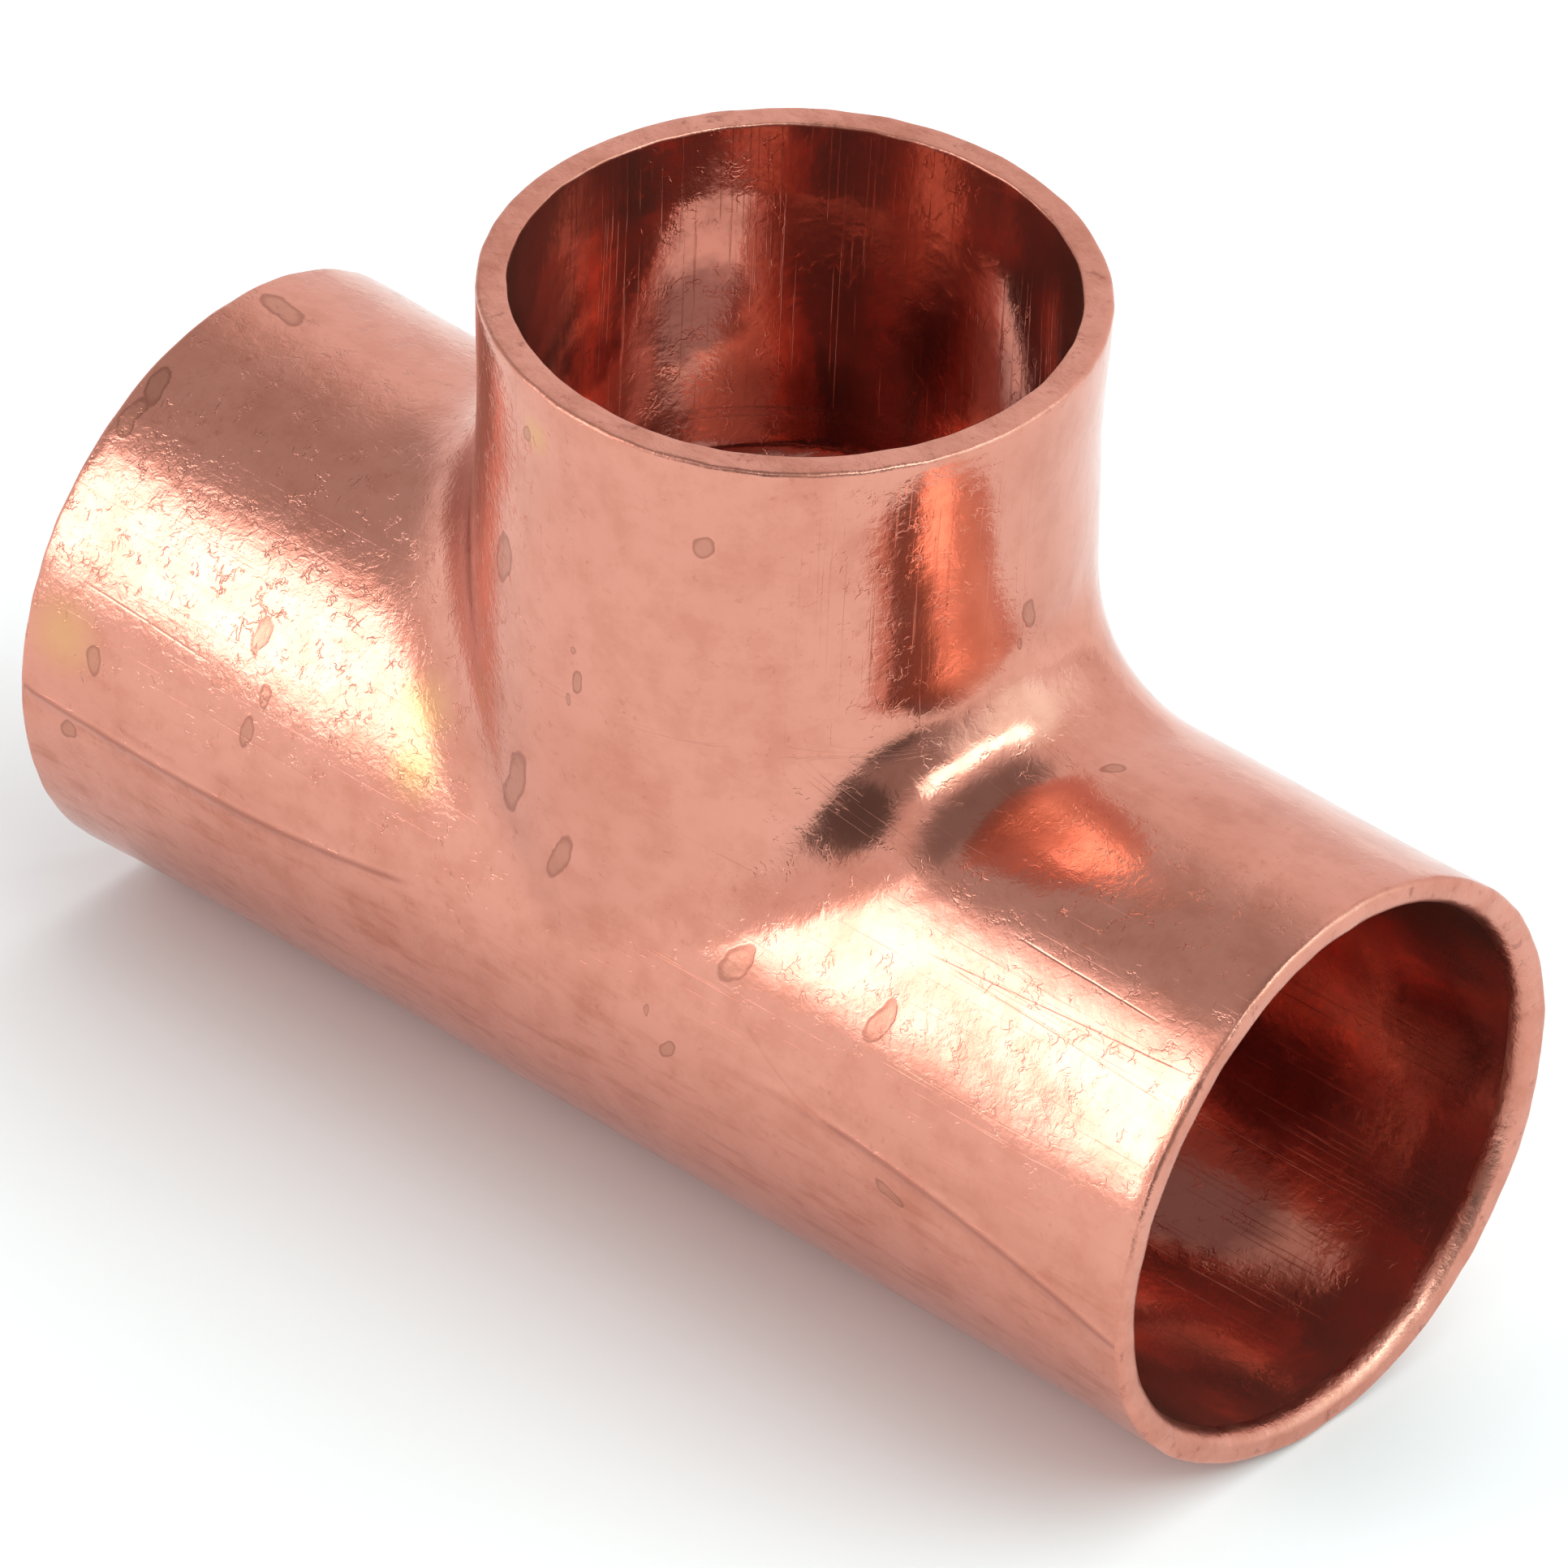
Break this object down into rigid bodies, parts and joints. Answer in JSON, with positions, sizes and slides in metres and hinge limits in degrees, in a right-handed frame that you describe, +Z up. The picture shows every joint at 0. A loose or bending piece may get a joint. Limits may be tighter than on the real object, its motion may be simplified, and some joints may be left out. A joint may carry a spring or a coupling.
{
  "type": "tee fitting",
  "caption": "Equal tee in bright copper tube with plain solder sockets at both run ends and on the branch, and a broad rounded crotch.",
  "frame": {"origin": "on the ground straight under the point where the run and branch axes cross", "axes": "+X along the run, +Z up along the branch towards its mouth, +Y across"},
  "size_m": [0.0396, 0.017, 0.0266],
  "materials": {
    "copper": "drawn copper, bright and slightly pink, with faint oxide mottling and water spots"
  },
  "bodies": {
    "root": {"tee_body": "copper"}
  },
  "joints": []
}
